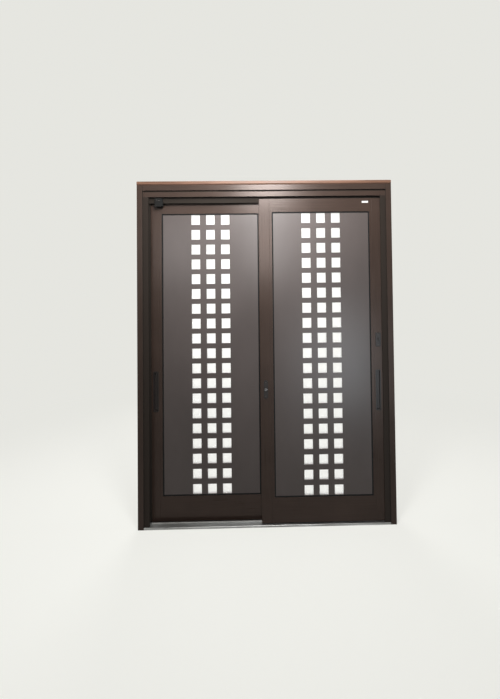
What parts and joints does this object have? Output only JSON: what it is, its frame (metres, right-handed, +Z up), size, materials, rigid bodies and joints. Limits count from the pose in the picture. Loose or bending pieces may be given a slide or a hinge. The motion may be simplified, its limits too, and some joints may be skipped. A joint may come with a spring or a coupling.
{
  "type": "two-leaf sliding entrance door",
  "caption": "Two-leaf aluminium sliding entrance door in its frame, with square-light lattice panels over frosted glass.",
  "frame": {"origin": "middle of the sill's underside", "axes": "+Z up, +X to the right as seen from the room, -Y towards the room"},
  "size_m": [1.69, 0.112, 2.275],
  "materials": {
    "bronze_aluminium": "satin anodised, dark bronze",
    "bare_aluminium": "satin, worn",
    "brown_trim": "satin, reddish brown",
    "stainless": "brushed",
    "lattice_sheet": "satin, dark bronze facing",
    "frosted_glass": "frosted",
    "black_rubber": "matte",
    "grey_pile": "brushed pile",
    "nylon": "matte",
    "dark_metal": "satin, near black",
    "zinc_screw": "zinc plated"
  },
  "bodies": {
    "frame": {"head_frame": "bronze_aluminium", "sill_frame": "bare_aluminium", "left_jamb": "bronze_aluminium", "right_jamb": "bronze_aluminium", "head_trim_strip": "brown_trim", "sill_rail_caps": "stainless", "jamb_buffers": "black_rubber", "lock_strike": "stainless", "travel_stop_clamps": "dark_metal", "travel_stop_rubbers": "black_rubber", "head_draught_block": "black_rubber", "sill_draught_block": "black_rubber", "frame_screws": "zinc_screw"},
    "inner_leaf": {"inner_leaf_leading_stile": "bronze_aluminium", "inner_leaf_meeting_stile": "bronze_aluminium", "inner_leaf_top_rail": "bronze_aluminium", "inner_leaf_bottom_rail": "bronze_aluminium", "inner_leaf_inside_panel": "lattice_sheet", "inner_leaf_glass": "frosted_glass", "inner_leaf_outside_panel": "lattice_sheet", "inner_leaf_glazing_beads": "bronze_aluminium", "inner_leaf_gasket": "black_rubber", "inner_leaf_pile_strip": "grey_pile", "inner_leaf_guide_blocks": "nylon", "inner_leaf_roller_brackets": "stainless", "inner_leaf_roller_axles": "stainless", "inner_leaf_inside_pull": "dark_metal", "inner_leaf_outside_pull": "dark_metal", "inner_leaf_screws": "zinc_screw", "edge_lock_cover": "dark_metal", "edge_lock_case": "stainless", "edge_lock_cylinder": "stainless", "meeting_lock_plate": "dark_metal"},
    "outer_leaf": {"outer_leaf_leading_stile": "bronze_aluminium", "outer_leaf_meeting_stile": "bronze_aluminium", "outer_leaf_top_rail": "bronze_aluminium", "outer_leaf_bottom_rail": "bronze_aluminium", "outer_leaf_inside_panel": "lattice_sheet", "outer_leaf_glass": "frosted_glass", "outer_leaf_outside_panel": "lattice_sheet", "outer_leaf_glazing_beads": "bronze_aluminium", "outer_leaf_gasket": "black_rubber", "outer_leaf_pile_strip": "grey_pile", "outer_leaf_guide_blocks": "nylon", "outer_leaf_roller_brackets": "stainless", "outer_leaf_roller_axles": "stainless", "outer_leaf_inside_pull": "dark_metal", "outer_leaf_outside_pull": "dark_metal", "outer_leaf_screws": "zinc_screw", "meeting_lock_keeper": "stainless"},
    "inner_leaf_meeting_wheel": {"inner_leaf_meeting_wheel": "nylon"},
    "inner_leaf_leading_wheel": {"inner_leaf_leading_wheel": "nylon"},
    "outer_leaf_meeting_wheel": {"outer_leaf_meeting_wheel": "nylon"},
    "outer_leaf_leading_wheel": {"outer_leaf_leading_wheel": "nylon"},
    "edge_turn": {"edge_lock_turn": "dark_metal", "edge_lock_plug": "stainless"},
    "edge_hook": {"edge_hook_bolt": "stainless"},
    "meeting_turn": {"meeting_lock_turn": "dark_metal", "meeting_lock_arm": "stainless"}
  },
  "joints": [
    {"name": "inner_leaf_slide", "type": "slide", "parent": "frame", "child": "inner_leaf", "axis": [-1, 0, 0], "range_m": [0, 0.64]},
    {"name": "outer_leaf_slide", "type": "slide", "parent": "frame", "child": "outer_leaf", "axis": [1, 0, 0], "range_m": [0, 0.64]},
    {"name": "inner_leaf_meeting_wheel_roll", "type": "hinge", "parent": "inner_leaf", "child": "inner_leaf_meeting_wheel", "pos_m": [0.089, -0.022, 0.0431], "axis": [0, 1, 0], "continuous": true},
    {"name": "inner_leaf_leading_wheel_roll", "type": "hinge", "parent": "inner_leaf", "child": "inner_leaf_leading_wheel", "pos_m": [0.656, -0.022, 0.0431], "axis": [0, 1, 0], "continuous": true},
    {"name": "outer_leaf_meeting_wheel_roll", "type": "hinge", "parent": "outer_leaf", "child": "outer_leaf_meeting_wheel", "pos_m": [-0.089, 0.022, 0.0431], "axis": [0, 1, 0], "continuous": true},
    {"name": "outer_leaf_leading_wheel_roll", "type": "hinge", "parent": "outer_leaf", "child": "outer_leaf_leading_wheel", "pos_m": [-0.656, 0.022, 0.0431], "axis": [0, 1, 0], "continuous": true},
    {"name": "edge_lock_turn", "type": "hinge", "parent": "inner_leaf", "child": "edge_turn", "pos_m": [0.745, -0.022, 1.211], "axis": [0, 1, 0], "range_deg": [0, 90]},
    {"name": "edge_hook_swing", "type": "hinge", "parent": "inner_leaf", "child": "edge_hook", "pos_m": [0.772, -0.022, 1.19], "axis": [0, 1, 0], "range_deg": [0, 90]},
    {"name": "meeting_lock_turn", "type": "hinge", "parent": "inner_leaf", "child": "meeting_turn", "pos_m": [-0.006, -0.022, 0.891], "axis": [0, 1, 0], "range_deg": [0, 90]}
  ],
  "couplings": [
    {"joint": "inner_leaf_meeting_wheel_roll", "follows": "inner_leaf_slide", "rad_per_m": -71.429},
    {"joint": "inner_leaf_leading_wheel_roll", "follows": "inner_leaf_slide", "rad_per_m": -71.429},
    {"joint": "outer_leaf_meeting_wheel_roll", "follows": "outer_leaf_slide", "rad_per_m": 71.429},
    {"joint": "outer_leaf_leading_wheel_roll", "follows": "outer_leaf_slide", "rad_per_m": 71.429},
    {"joint": "edge_hook_swing", "follows": "edge_lock_turn", "ratio": 1}
  ]
}
